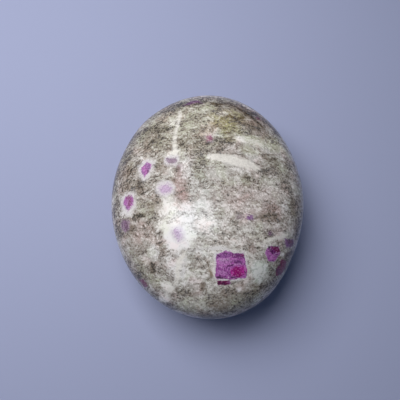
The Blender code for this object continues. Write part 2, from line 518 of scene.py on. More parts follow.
VEINS = (
    Vein(
        "cream",
        (
            (-8.0, 22.3, 0.15), (-7.9, 20.1, 0.4), (-8.2, 18.2, 0.45), (-8.7, 15.8, 0.4),
            (-9.0, 13.7, 0.4), (-9.2, 11.7, 0.35), (-8.8, 10.1, 0.8),
        ),
    ),
    Vein(
        "cream",
        (
            (-0.6, 8.6, 0.3), (1.8, 8.3, 1.0), (4.5, 7.8, 1.15), (7.7, 7.1, 1.1), (10.5, 6.2, 0.9),
            (12.2, 5.8, 0.25),
        ),
    ),
    Vein("white", ((-6.4, -13.8, 0.2), (-3.8, -14.2, 0.2), (-0.3, -13.7, 0.4), (3.2, -13.5, 0.3))),
    Vein(
        "cream",
        (
            (-6.4, -14.8, 0.5), (-7.4, -16.4, 0.7), (-7.9, -18.4, 0.5), (-7.7, -20.4, 0.45),
            (-8.7, -22.2, 0.5), (-10.6, -24.2, 0.5),
        ),
    ),
    Vein("white", ((-6.5, -17.3, 0.15), (-6.3, -18.6, 0.2), (-6.7, -20.0, 0.15))),
    Vein("cream", ((10.9, -12.6, 0.25), (13.7, -11.5, 0.4), (16.1, -10.5, 0.4), (18.9, -9.6, 0.3))),
    Vein(
        "dark",
        (
            (0.8, 24.4, 0.5), (2.1, 24.1, 0.5), (4.3, 24.8, 0.2), (6.9, 23.7, 0.35),
            (9.4, 21.9, 0.5), (11.9, 19.7, 0.4), (14.0, 17.5, 0.1),
        ),
    ),
    Vein("dark", ((2.7, 19.3, 0.15), (4.8, 20.4, 0.3), (6.5, 19.3, 0.45), (8.4, 20.3, 0.2))),
    Vein("dark", ((3.2, 14.8, 0.2), (4.8, 15.2, 0.3))),
    Vein("dark", ((-0.9, -16.9, 0.1), (-0.4, -18.7, 0.15), (0.1, -20.0, 0.1))),
    Vein(
        "cream",
        (
            (-7.6, 25.0, 0.3), (-5.5, 20.0, 0.4), (-3.5, 14.5, 0.35), (-2.6, 8.0, 0.5), (-3.2, 3.0, 0.2),
        ),
        crown=False,
    ),
    Vein(
        "cream",
        ((-10.8, -23.0, 0.4), (-5.0, -15.0, 0.6), (2.5, -11.0, 0.9), (9.0, -9.5, 0.5), (15.0, -9.0, 0.2)),
        crown=False,
    ),
    Vein("white", ((8.0, 4.0, 0.2), (12.5, 3.0, 0.5), (17.5, 3.5, 0.4), (21.5, 5.0, 0.1)), crown=False),
)

# Patches that the photograph shows, read as pixels right and down, then the radii in pixels.
# The grey and brown strips that hug the outline darken the rim: partly mica-rich rock, partly painted
# shade where the sides turn from the light.
SEEN_CLOUDS = (
    Cloud((128, 235), (22, 62), 0, "brown", 0.35, 0.05),
    Cloud((215, 304), (48, 12), 0, "green", 0.5, -0.02),
    Cloud((282, 168), (9, 12), 0, "grey", 0.4, 0.08),
    Cloud((276, 194), (13, 8), 0, "pink", 0.3, -0.12),
    Cloud((248, 202), (34, 24), 0, "pink", 0.55, -0.09),
    Cloud((198, 183), (13, 20), 0, "mint", 0.3, 0),
    Cloud((215, 250), (48, 44), 0, "cream", 0.3, -0.13),
    Cloud((178, 124), (55, 30), 0, "green", 0.6, 0.03),
    # From here, ten grey and brown strips along the outline, all round: partly streaks of mica-rich rock,
    # partly painted shade at the rim.
    Cloud((119, 168), (6, 24), -20, "grey", 0.8, 0.2),
    Cloud((136, 135), (18, 7), 50, "grey", 0.8, 0.14),
    Cloud((162, 111), (18, 6), 30, "grey", 0.7, 0.16),
    Cloud((262, 119), (18, 5), -40, "brown", 1, 0.28),
    Cloud((116, 218), (5, 40), 0, "grey", 0.5, 0.1),
    Cloud((216, 314), (46, 6), 0, "grey", 0.8, 0.14),
    Cloud((212, 101), (34, 6), 0, "grey", 0.7, 0.12),
    Cloud((299, 215), (5, 32), 0, "brown", 0.6, 0.12),
    Cloud((284, 275), (12, 14), 0, "grey", 0.4, 0.06),
    Cloud((289, 260), (5, 12), -20, "brown", 0.9, 0.28),
    Cloud((149, 137), (17, 13), 20, "grey", 0.8, 0.13),
    Cloud((170, 131), (6, 4), 0, "brown", 0.5, 0.08),
    Cloud((162, 145), (24, 8), 0, "grey", 0.4, 0.08),
    Cloud((192, 140), (12, 9), 0, "grey", 0.6, 0.1),
    Cloud((208, 137), (9, 6), 0, "cream", 0.3, -0.08),
    Cloud((122, 178), (8, 20), 0, "brown", 0.5, 0.07),
    Cloud((127, 172), (6, 8), -40, "brown", 1, 0.22),
    Cloud((135, 190), (12, 5), 0, "brown", 0.8, 0.16),
    Cloud((207, 106), (6, 6), 0, "green", 0.7, -0.12),
    Cloud((230, 120), (22, 13), 0, "olive", 0.9, 0.04),
    Cloud((222, 113), (7, 3), 0, "cream", 0.7, -0.14),
    Cloud((240, 108), (16, 5), -25, "brown", 0.9, 0.2),
    Cloud((250, 126), (22, 9), -25, "brown", 0.5, 0.07),
    Cloud((256, 113), (6, 4), -30, "rose", 0.7, 0),
    Cloud((266, 124), (6, 5), -30, "pink", 0.8, -0.05),
    Cloud((224, 149), (10, 6), 0, "rose", 0.3, -0.12),
    Cloud((241, 139), (9, 4), 0, "cream", 0.9, -0.26),
    Cloud((257, 141), (13, 6), 0, "green", 0.8, -0.26),
    Cloud((273, 143), (10, 8), -25, "green", 0.95, -0.2),
    Cloud((250, 150), (14, 4), -8, "green", 0.7, -0.1),
    Cloud((285, 152), (6, 4), -40, "green", 0.8, -0.12),
    Cloud((268, 213), (14, 9), 0, "rose", 0.75, 0),
    Cloud((268, 216), (9, 4), 0, "brown", 0.9, 0.12),
    Cloud((284, 208), (4, 7), 0, "white", 0.6, -0.12),
    Cloud((293, 207), (3, 10), 0, "brown", 0.6, 0.14),
    Cloud((274, 230), (10, 7), 0, "pink", 0.5, -0.2),
    Cloud((252, 248), (5, 6), 0, "rose", 0.75, 0.05),
    Cloud((290, 253), (4, 3), 20, "plum_deep", 0.7, 0.2),
    Cloud((168, 217), (12, 21), 0, "cream", 0.8, -0.44),
    # Partly white feldspar, partly a painted highlight where the overhead light shines off the polish.
    Cloud((187, 215), (9, 13), 0, "white", 0.5, -0.14),
    Cloud((206, 223), (9, 9), 0, "cream", 0.5, -0.14),
    Cloud((142, 178), (6, 5), 0, "brown", 0.5, 0.16),
    Cloud((243, 128), (7, 4), 0, "cream", 0.4, -0.16),
    Cloud((282, 238), (6, 5), 0, "pink", 0.4, -0.16),
    Cloud((222, 298), (10, 5), 0, "brown", 0.5, 0.12),
    Cloud((178, 238), (16, 12), 0, "white", 1, -0.5),
    Cloud((201, 237), (5, 5), 0, "grey", 0.6, 0.1),
    Cloud((176, 251), (16, 2), 0, "grey", 0.5, 0.06),
    Cloud((196, 256), (16, 7), 0, "mint", 0.5, -0.08),
    Cloud((190, 298), (22, 9), 0, "cream", 0.35, -0.06),
    Cloud((162, 246), (3, 7), -40, "grey", 0.7, 0.14),
    Cloud((192, 257), (7, 3), 0, "grey", 0.5, 0.06),
    Cloud((180, 185), (9, 18), 0, "rose", 0.95, 0.02),
    Cloud((179, 167), (4, 4), 0, "mauve", 0.7, 0),
    Cloud((174, 153), (9, 4), 0, "cream", 0.7, -0.14),
    Cloud((163, 164), (9, 8), 0, "brown", 0.6, 0.16),
    Cloud((172, 184), (7, 8), 0, "rose", 0.8, 0.2),
    Cloud((211, 157), (7, 3), 0, "cream", 0.8, -0.26),
    Cloud((186, 167), (7, 15), 0, "white", 0.6, -0.16),
    Cloud((193, 184), (6, 8), 0, "white", 0.4, -0.08),
    Cloud((180, 140), (12, 6), 0, "grey", 0.6, 0.12),
    Cloud((172, 126), (5, 8), 0, "cream", 0.5, -0.1),
    Cloud((231, 139), (7, 4), 0, "olive", 0.6, 0.14),
    Cloud((154, 205), (10, 10), 0, "brown", 0.6, 0.22),
    Cloud((176, 268), (12, 20), 0, "white", 0.6, -0.2),
    Cloud((196, 248), (14, 6), 0, "white", 0.4, -0.1),
    Cloud((252, 118), (10, 6), -35, "brown", 0.9, 0.16),
    Cloud((272, 160), (13, 6), -20, "grey", 0.7, 0.14),
    Cloud((242, 178), (13, 6), 0, "grey", 0.5, 0.1),
    Cloud((262, 279), (9, 6), 0, "mint", 0.7, -0.16),
    Cloud((256, 240), (16, 7), 0, "pink", 0.4, -0.14),
    Cloud((154, 251), (5, 7), 0, "white", 0.7, -0.16),
    Cloud((146, 260), (6, 5), 0, "pink", 0.8, -0.08),
    Cloud((138, 228), (10, 10), 0, "pink", 0.4, 0),
    Cloud((139, 215), (7, 2), 0, "grey", 1, 0.4),
    Cloud((131, 229), (3, 6), -20, "brown", 0.9, 0.22),
    Cloud((126, 213), (7, 4), 0, "white", 0.9, -0.25),
    Cloud((140, 275), (6, 7), 30, "grey", 0.8, 0.12),
    Cloud((152, 267), (3, 8), 0, "brown", 0.9, 0.24),
    Cloud((157, 284), (8, 8), 0, "green", 0.5, 0),
    Cloud((157, 295), (5, 3), -20, "brown", 0.8, 0.14),
    Cloud((166, 286), (6, 5), 0, "cream", 0.9, -0.3),
    Cloud((163, 298), (8, 5), 20, "cream", 0.9, -0.3),
    Cloud((181, 292), (9, 4), 0, "grey", 0.6, 0.1),
    Cloud((192, 280), (5, 4), 0, "pink", 0.8, -0.14),
    Cloud((202, 286), (4, 5), 0, "brown", 1, 0.32),
    Cloud((195, 294), (10, 3), 0, "rose", 0.5, 0.06),
    Cloud((192, 308), (15, 6), 0, "green", 0.6, -0.14),
    Cloud((222, 306), (14, 5), 0, "brown", 0.8, 0.16),
    Cloud((252, 288), (16, 6), 10, "brown", 0.6, 0.1),
    Cloud((228, 292), (12, 4), 0, "brown", 0.4, 0.08),
    Cloud((238, 289), (2.5, 2.5), 0, "white", 0.9, -0.3),
    Cloud((258, 268), (9, 9), 0, "mint", 0.9, -0.34),
    Cloud((270, 269), (6, 8), 0, "mint", 0.7, -0.06),
    Cloud((282, 254), (2, 2), 0, "white", 0.8, -0.3),
)

# Patches on the belly and the lower sides, which the photograph hides, in millimetres.
HIDDEN_CLOUDS = (
    Cloud((-14.0, 10.0), (10.0, 9.0), 20, "grey", 0.6, 0.08, False),
    Cloud((12.0, -12.0), (11.0, 8.0), -10, "brown", 0.5, 0.06, False),
    Cloud((3.0, 8.0), (12.0, 6.0), 0, "pink", 0.6, -0.03, False),
    Cloud((-4.0, -8.0), (9.0, 6.0), 15, "cream", 0.5, -0.1, False),
    Cloud((9.0, 19.0), (7.0, 4.0), -20, "olive", 0.6, 0.03, False),
    Cloud((16.0, 4.0), (4.0, 7.0), 0, "green", 0.7, -0.12, False),
    Cloud((6.5, -5.5), (4.0, 3.5), 0, "white", 0.9, -0.25, False),
    Cloud((-18.0, -6.0), (4.0, 6.0), 0, "rose", 0.5, 0.04, False),
    Cloud((-6.0, 19.0), (6.0, 4.0), 0, "green", 0.5, 0.0, False),
    Cloud((2.0, -25.0), (16.0, 5.0), 0, "grey", 0.6, 0.12, False),
    Cloud((-22.0, -2.0), (4.5, 15.0), 0, "brown", 0.6, 0.12, False),
    Cloud((21.0, 10.0), (5.0, 9.0), 15, "brown", 0.5, 0.1, False),
    Cloud((-1.0, 3.0), (3.0, 2.0), 0, "white", 0.7, -0.2, False),
    Cloud((19.0, -9.0), (3.0, 4.0), 0, "mint", 0.8, -0.16, False),
    Cloud((-9.0, -15.0), (4.0, 2.5), 30, "brown", 0.8, 0.16, False),
)


def smooth_step(low, high, value):
    """0 before low and 1 past high, with a soft turn at both; low may be the larger one."""
    share = np.clip((value - low) / (high - low), 0, 1)
    return share * share * (3 - 2 * share)


def fullness_reach(flat, upright, fullness):
    """How far out the profile lies in a direction whose level and upright parts are given."""
    return (abs(flat) ** fullness + abs(upright) ** fullness) ** (-1 / fullness)


def outline_swell(direction):
    """The share of the ellipse's radius that the outline keeps on this bearing."""
    bearing = math.atan2(direction.y, direction.x)
    share = 1.0
    for swell_bearing, spread, amount in OUTLINE_SWELLS:
        turn = math.remainder(bearing - swell_bearing, math.tau)
        share += amount * math.exp(-((turn / spread) ** 2))
    return share


def facet_depth(direction):
    """How far the soft facets lie under the round form here."""
    depth = 0.0
    for facing, spread, deepest in SOFT_FACETS:
        turn = direction.angle(Vector(facing))
        depth += deepest * math.exp(-((turn / spread) ** 2))
    return depth


def place_on_stone(direction, sizes):
    """The point of the stone, measured from its middle, that lies along a direction of the ball."""
    above = direction.z >= 0
    fullness = sizes.crown_fullness if above else sizes.belly_fullness
    upper, lower = sizes.thickness - sizes.girth_height, sizes.girth_height + sizes.flat_depth
    level = math.hypot(direction.x, direction.y)
    reach = fullness_reach(level, direction.z, fullness)
    swell = outline_swell(direction)
    place = Vector(
        (
            sizes.width / 2 * direction.x * reach * swell,
            sizes.length / 2 * direction.y * reach * swell,
            (upper if above else lower) * direction.z * reach,
        )
    )
    return place - direction * facet_depth(direction)


def fit_to_size(bm, sizes):
    """Scales the stone to its length and width, and centres it over the origin."""
    lows = Vector([min(vert.co[i] for vert in bm.verts) for i in range(3)])
    highs = Vector([max(vert.co[i] for vert in bm.verts) for i in range(3)])
    sides = highs - lows
    middle = Vector(((lows.x + highs.x) / 2, (lows.y + highs.y) / 2, lows.z))
    bmesh.ops.translate(bm, vec=-middle, verts=bm.verts)
    growth = Vector((sizes.width / sides.x, sizes.length / sides.y, sizes.thickness / sides.z))
    bmesh.ops.scale(bm, vec=growth, verts=bm.verts)


def right_and_up(facing):
    """The two ways across something that faces one way, with up as near to +Y as it goes."""
    up = (Vector((0, 1, 0)) - facing * facing.y).normalized()
    return up.cross(facing), up


class Surface:
    """The smooth stone, on which marks find their places."""

    def __init__(self, bm):
        self.tree = BVHTree.FromBMesh(bm)

    def hit(self, start, way):
        """(point, outwards) where a ray meets the stone, or two Nones."""
        return self.tree.ray_cast(start, way)[:2]

    def place(self, at, crown=True):
        """(point, right, up, outwards) in millimetres where a plan place meets the crown or belly."""
        start = Vector((at[0] * MM, at[1] * MM, 1 if crown else -1))
        point, outwards = self.hit(start, Vector((0, 0, -1 if crown else 1)))
        if point is None:
            raise ValueError(f"no stone at {at}")
        right, up = right_and_up(outwards)
        return tuple(np.array(v) for v in (point / MM, right, up, outwards))


PHOTO_SIDE_PX = 400  # the photograph's width and its height
STONE_MIDDLE_PX = (208.07, 202.48)  # where the middle of the stone's thickness lies in it
OUTLINE_MIDDLE_PX = (208, 208)  # the middle of the outline, towards which a patch off the rim moves
RIM_STEP = 0.02  # share of the way there that it moves at a time
SENSOR_WIDTH = 36.0  # millimetres, the frame that the lens is given for


class PhotoView:
    """The photograph's camera: where it stands, and where its pixels fall on the stone."""

    def __init__(self, stage):
        self.half = PHOTO_SIDE_PX / 2
        self.focal = stage.lens / SENSOR_WIDTH * PHOTO_SIDE_PX
        level = math.cos(stage.camera_height)
        towards = Vector(
            (
                -math.sin(stage.camera_bearing) * level,
                -math.cos(stage.camera_bearing) * level,
                math.sin(stage.camera_height),
            )
        )
        aimed = self.way(*STONE_MIDDLE_PX)
        off_axis = aimed.rotation_difference(Vector((0, 0, -1))).to_matrix()
        self.turn = Matrix(list(zip(*right_and_up(towards), towards))) @ off_axis
        self.place = Vector((0, 0, STONE_THICKNESS / 2)) + towards * stage.camera_distance

    def way(self, across, down):
        """The way from the lens to a pixel, as the camera sees it."""
        return Vector(((across - self.half) / self.focal, (self.half - down) / self.focal, -1))

    def pixel(self, point):
        """Where a point is seen, in pixels right and down."""
        seen = self.turn.transposed() @ (point - self.place)
        share = self.focal / -seen.z
        return Vector((self.half + share * seen.x, self.half - share * seen.y))

    def on_stone(self, cloud, surface):
        """A patch read in pixels, with its place and radii turned into millimetres on the stone."""
        at = Vector(cloud.at)
        point = None
        while point is None:
            middle = self.way(at.x + 0.5, at.y + 0.5)  # a whole number is a pixel's corner
            point, outwards = surface.hit(self.place, (self.turn @ middle).normalized())
            at += (Vector(OUTLINE_MIDDLE_PX) - at) * RIM_STEP
        radii = []
        for side, radius in zip(right_and_up(outwards), cloud.radii):
            half_step = side * MM / 2
            pixels_per_mm = (self.pixel(point + half_step) - self.pixel(point - half_step)).length
            radii.append(radius / pixels_per_mm)
        return cloud._replace(at=(point.x / MM, point.y / MM), radii=tuple(radii))


def near(points, centre, reach):
    """The numbers of the points within reach of a centre."""
    return np.flatnonzero(((points - centre) ** 2).sum(1) < reach * reach)


def outline_distance(places, corners):
    """How far flat places lie outside a closed outline; inside it is below 0."""
    least = np.full(len(places), np.inf)
    sign = np.ones(len(places))
    for start, end in zip(corners, np.roll(corners, -1, axis=0)):
        edge, way = end - start, places - start
        along = np.clip(way @ edge / (edge @ edge), 0, 1)
        least = np.minimum(least, ((way - along[:, None] * edge) ** 2).sum(1))
        over, under = places[:, 1] >= start[1], places[:, 1] < end[1]
        left = edge[0] * way[:, 1] > edge[1] * way[:, 0]
        crossed = (over & under & left) | (~over & ~under & ~left)
        sign = np.where(crossed, -sign, sign)
    return sign * np.sqrt(least)


def capsule_distance(places, start, end, start_radius, end_radius):
    """How far places lie outside a round bar whose radius changes from end to end."""
    edge, way = end - start, places - start
    along = np.clip(way @ edge / max(edge @ edge, 1e-9), 0, 1)
    gap = np.sqrt(((way - along[:, None] * edge) ** 2).sum(1))
    return gap - (start_radius + along * (end_radius - start_radius))


SEED_SHIFT = (17.3, 5.1, 9.7)  # how far apart two seeds read the same noise


def rough_field(points, pitch, seed):
    """Smooth noise between about -1 and 1 at each point, with features of the pitch in millimetres."""
    shift = Vector(SEED_SHIFT) * seed
    return np.array([noise.noise(Vector(p) / pitch + shift) for p in points])


LONG_WAVE, SHORT_WAVE = 9.0, 3.4  # millimetres, of the waves that the wheel left


class Marks:
    """What the rock shows at each point of the mesh: its rubies, veins and patches, with painted shade in
    the patches along the rim and painted highlights in a patch over the middle and a glint in the main
    ruby.
    """

    FAR = 3.0  # millimetres; distances past this aren't kept apart
    SLOW_PITCH, QUICK_PITCH = 2.6, 0.9  # millimetres, of the unevenness of every edge
    EDGE_BLUR = 0.12  # millimetres over which the material fades a ruby's edge
    PATCH_FULL, PATCH_GONE = 0.5, 1.3  # shares of a patch's radius
    PATCH_DEPTH = 1.2  # how far a patch reaches inwards, as a share of its longer radius
    HALO_REACH = 1.6  # how far a halo fades out, as a share of its width

    def __init__(self, points, surface, photo, colours):
        self.points, self.surface, self.photo, self.colours = points, surface, photo, colours
        count = len(points)
        self.ruby_edge = np.full(count, self.FAR)
        self.ruby_colour = np.tile(self.paint("magenta"), (count, 1))
        self.ruby_strength, self.mottle = np.zeros(count), np.zeros(count)
        self.halo, self.crack = np.zeros(count), np.zeros(count)
        self.veins = {kind: np.full(count, self.FAR) for kind in ("cream", "white", "dark")}
        self.ground = np.tile(self.paint("albite"), (count, 1))
        self.mica = np.zeros(count)
        self.slow = rough_field(points, self.SLOW_PITCH, 1)
        self.quick = rough_field(points, self.QUICK_PITCH, 2)

    def paint(self, name):
        return np.array(getattr(self.colours, name))

    def add_cloud(self, cloud):
        centre, right, up, outwards = self.surface.place(cloud.at, cloud.crown)
        turn = math.radians(cloud.turn)
        along = right * math.cos(turn) + up * math.sin(turn)
        across = up * math.cos(turn) - right * math.sin(turn)
        reach = max(cloud.radii)
        found = near(self.points, centre, reach * 2)
        way = self.points[found] - centre
        gap = np.sqrt(
            (way @ along / cloud.radii[0]) ** 2
            + (way @ across / cloud.radii[1]) ** 2
            + (way @ outwards / (reach * self.PATCH_DEPTH)) ** 2
        )
        ragged = gap + 0.28 * self.slow[found] + 0.20 * self.quick[found]
        cover = smooth_step(self.PATCH_GONE, self.PATCH_FULL, ragged)
        change = self.paint(cloud.colour) - self.ground[found]
        self.ground[found] += (cloud.strength * cover)[:, None] * change
        self.mica[found] += cover * cloud.mica

    def add_vein(self, vein):
        places = [self.surface.place((x, y), vein.crown)[0] for x, y, _ in vein.points]
        widths = [half for _, _, half in vein.points]
        edge = self.veins[vein.kind]
        for start, end, first, last in zip(places, places[1:], widths, widths[1:]):
            found = near(self.points, (start + end) / 2, np.linalg.norm(end - start) / 2 + self.FAR)
            gap = capsule_distance(self.points[found], start, end, first, last)
            edge[found] = np.minimum(edge[found], gap)

    def add_ruby(self, ruby):
        centre, right, up, outwards = self.surface.place(ruby.at, ruby.crown)
        corners = np.array(ruby.outline, float)
        found = near(self.points, centre, np.abs(corners).max() * 1.5 + self.FAR)
        way = self.points[found] - centre
        wobble = 0.12 * self.quick[found]
        flat = np.stack([way @ right + wobble, way @ up - wobble], 1)
        deep = np.abs(way @ outwards) - self.FAR
        edge = np.maximum(outline_distance(flat, corners), deep)
        colour = np.tile(self.paint(ruby.colour), (len(found), 1))
        crack = np.zeros(len(found))
        for stroke in ruby.strokes:
            start, end = np.array(stroke.start, float), np.array(stroke.end, float)
            gap = capsule_distance(flat, start, end, stroke.half_width, stroke.half_width)
            soft = 0.35 * stroke.half_width + 0.04
            share = stroke.strength * smooth_step(soft, -soft, gap)
            colour += share[:, None] * (self.paint(stroke.colour) - colour)
            if stroke.colour == "crack":
                crack = np.maximum(crack, share)
        nearer = edge < self.ruby_edge[found]
        chosen = found[nearer]
        self.ruby_edge[chosen] = edge[nearer] * self.EDGE_BLUR / ruby.soft
        self.ruby_colour[chosen], self.crack[chosen] = colour[nearer], crack[nearer]
        self.ruby_strength[chosen], self.mottle[chosen] = ruby.strength, ruby.mottle
        uneven = 0.75 + 0.5 * self.slow[found] + 0.4 * self.quick[found]
        halo = ruby.halo_strength * smooth_step(ruby.halo * self.HALO_REACH, 0, edge) * uneven
        self.halo[found] = np.maximum(self.halo[found], halo)

    def add_all(self):
        for cloud in SEEN_CLOUDS:
            self.add_cloud(self.photo.on_stone(cloud, self.surface))
        for cloud in HIDDEN_CLOUDS:
            self.add_cloud(cloud)
        for vein in VEINS:
            self.add_vein(vein)
        for ruby in RUBIES:
            self.add_ruby(ruby)

    def write(self, mesh):
        """Keeps the marks on the mesh, where the material reads them."""
        vectors = {
            "ruby": (self.ruby_edge, self.ruby_strength, self.mottle),
            "ruby_colour": tuple(self.ruby_colour.T),
            "veins": tuple(self.veins[kind] for kind in ("cream", "white", "dark")),
            "ground": tuple(self.ground.T),
            "spread": (self.mica, self.halo, self.crack),
        }
        for name, parts in vectors.items():
            attribute = mesh.attributes.new(name, "FLOAT_VECTOR", "POINT")
            attribute.data.foreach_set("vector", np.stack(parts, 1).astype(np.float32).ravel())

    def relief(self, sizes):
        """How far each point stands out of the smooth stone, in millimetres."""
        inside = smooth_step(self.EDGE_BLUR, -self.EDGE_BLUR, self.ruby_edge)
        wave = rough_field(self.points, LONG_WAVE, 3) + 0.3 * rough_field(self.points, SHORT_WAVE, 4)
        height = sizes.wheel_wave * wave + inside * (sizes.ruby_stand - sizes.crack_depth * self.crack)
        return height / MM


SHORT_EDGE = 0.16 * MM  # an edge of the mesh that needs no more dividing
CALM_RIM = 0.6  # millimetres above the ground over which the relief sets in


def refine_rubies(bm, surface):
    """Divides the mesh under each ruby, so that its edge and cracks come out sharp."""
    for ruby in RUBIES:
        centre = Vector(surface.place(ruby.at, ruby.crown)[0]) * MM
        reach = (np.abs(np.array(ruby.outline)).max() * 1.25 + 0.4) * MM
        for _ in range(2):
            edges = [
                edge
                for edge in bm.edges
                if all((vert.co - centre).length < reach for vert in edge.verts)
                and edge.calc_length() > SHORT_EDGE
            ]
            bmesh.ops.subdivide_edges(bm, edges=edges, cuts=1, use_grid_fill=True)


def stone_mesh(sizes, colours, photo):
    """The finished mesh: the ground form, the relief of the polish, and the marks to read."""
    bm = bmesh.new()
    bmesh.ops.create_icosphere(bm, subdivisions=sizes.fineness, radius=1.0)
    for vert in bm.verts:
        vert.co = place_on_stone(vert.co.normalized(), sizes)
    bmesh.ops.translate(bm, vec=(0, 0, sizes.girth_height), verts=bm.verts)
    for vert in bm.verts:
        vert.co.z = max(vert.co.z, 0.0)
    fit_to_size(bm, sizes)
    surface = Surface(bm)
    refine_rubies(bm, surface)
    bmesh.ops.recalc_face_normals(bm, faces=bm.faces)
    for face in bm.faces:
        face.smooth = True
    mesh = bpy.data.meshes.new("palm_stone_polished")
    bm.to_mesh(mesh)
    bm.free()
    count = len(mesh.vertices)
    places, normals = np.empty(count * 3, np.float32), np.empty(count * 3, np.float32)
    mesh.vertices.foreach_get("co", places)
    mesh.vertices.foreach_get("normal", normals)
    places, normals = places.reshape(-1, 3).astype(float), normals.reshape(-1, 3).astype(float)
    marks = Marks(places / MM, surface, photo, colours)
    marks.add_all()
    marks.write(mesh)
    off_ground = smooth_step(0.0, CALM_RIM, places[:, 2] / MM)
    places += normals * (marks.relief(sizes) * off_ground * MM)[:, None]
    mesh.vertices.foreach_set("co", places.astype(np.float32).ravel())
    mesh.update()
    return mesh


class Wire:
    """A shader socket that takes Python's own signs: each sign adds the node that does the sum."""

    def __init__(self, tree, socket=None):
        self.tree, self.socket = tree, socket

    def add(self, kind, settings=None, inputs=None, output=0):
        """Adds a node, sets it up, fills its sockets with values or wires, and gives one output."""
        made = self.tree.nodes.new(kind)
        for name, value in (settings or {}).items():
            setattr(made, name, value)
        for key, value in (inputs or {}).items():
            if isinstance(value, Wire):
                self.tree.links.new(value.socket, made.inputs[key])
            else:
                made.inputs[key].default_value = value
        return Wire(self.tree, made.outputs[output])

    def sum(self, operation, *values):
        return self.add("ShaderNodeMath", {"operation": operation}, dict(enumerate(values)))

    def __add__(self, other):
        return self.sum("ADD", self, other)

    def __sub__(self, other):
        return self.sum("SUBTRACT", self, other)

    def __rsub__(self, other):
        return self.sum("SUBTRACT", other, self)

    def __mul__(self, other):
        return self.sum("MULTIPLY", self, other)

    __radd__ = __add__
    __rmul__ = __mul__

    def step(self, low, high):
        """0 before low and 1 past high, softly; low may be the larger one."""
        return self.add(
            "ShaderNodeMapRange",
            {"interpolation_type": "SMOOTHSTEP"},
            {"Value": self, "From Min": low, "From Max": high},
        )

    def part(self, index):
        """One of a vector's three numbers."""
        return self.add("ShaderNodeSeparateXYZ", None, {0: self}, index)

    def stretched(self, sides):
        """A place with each side multiplied."""
        return self.add("ShaderNodeVectorMath", {"operation": "MULTIPLY"}, {0: self, 1: sides})

    def moved(self, by):
        """A place moved by a vector."""
        return self.add("ShaderNodeVectorMath", {"operation": "ADD"}, {0: self, 1: by})

    def dimmed(self, share):
        """A colour or vector with every part multiplied by one number."""
        return self.add("ShaderNodeVectorMath", {"operation": "SCALE"}, {0: self, "Scale": share})

    def covered(self, colour, share):
        """This colour with another over it."""
        if not isinstance(colour, Wire):
            colour = (*colour, 1.0)
        return self.add("ShaderNodeMix", {"data_type": "RGBA"}, {0: share, 6: self, 7: colour}, 2)

    def noise(self, pitch, detail=2.0, roughness=0.5, output=0):
        """Noise at this place, about 0.5, whose waves are pitch apart."""
        inputs = {"Vector": self, "Scale": 1 / pitch, "Detail": detail, "Roughness": roughness}
        return self.add("ShaderNodeTexNoise", None, inputs, output)

    def cells(self, pitch):
        """Three numbers from 0 to 1 of its own for each grain of the rock."""
        return self.add("ShaderNodeTexVoronoi", None, {"Vector": self, "Scale": 1 / pitch}, 1)


BED_TILT = math.radians(-50)  # how the mica beds lean: they drop towards the narrow end

# How far apart the waves of each kind of unevenness are, in millimetres.
FOLD, RIPPLE = 11.0, 2.2  # of the beds
DRIFT, CAST, CROWD = 5.5, 4.5, 2.6  # of the mica's load, of the rock's tint, of flakes in swarms
FLECK, GRAIN, SPECK, DUST = 0.75, 0.40, 0.28, 0.27  # of the flakes and grains themselves
MOTTLE = 0.33  # of the speckle inside a ruby

POLISH_ROUGHNESS = 0.17
MICA_ROUGHNESS, CRACK_ROUGHNESS = 0.08, 0.25  # what mica and cracks add to it
PIT_DEPTH = 0.006 * MM  # of the pits that the polish leaves in the mica
FELDSPAR_IOR = 1.53


def rock_places(start):
    """(places in millimetres, the same along the folded beds with their third side across the beds)."""
    coordinates = start.add("ShaderNodeTexCoord", output=3)
    rock = coordinates.stretched((1 / MM, 1 / MM, 1 / MM))
    middle = (-0.5, -0.5, -0.5)  # brings the noise about 0
    fold = rock.noise(FOLD, 1.0, 0.5, 1).moved(middle).dimmed(3.2)
    ripple = rock.noise(RIPPLE, 1.0, 0.5, 1).moved(middle).dimmed(1.0)
    bent = rock.moved(fold).moved(ripple)
    beds = start.add("ShaderNodeMapping", None, {"Vector": bent, "Rotation": (BED_TILT, 0, 0)})
    return rock, beds


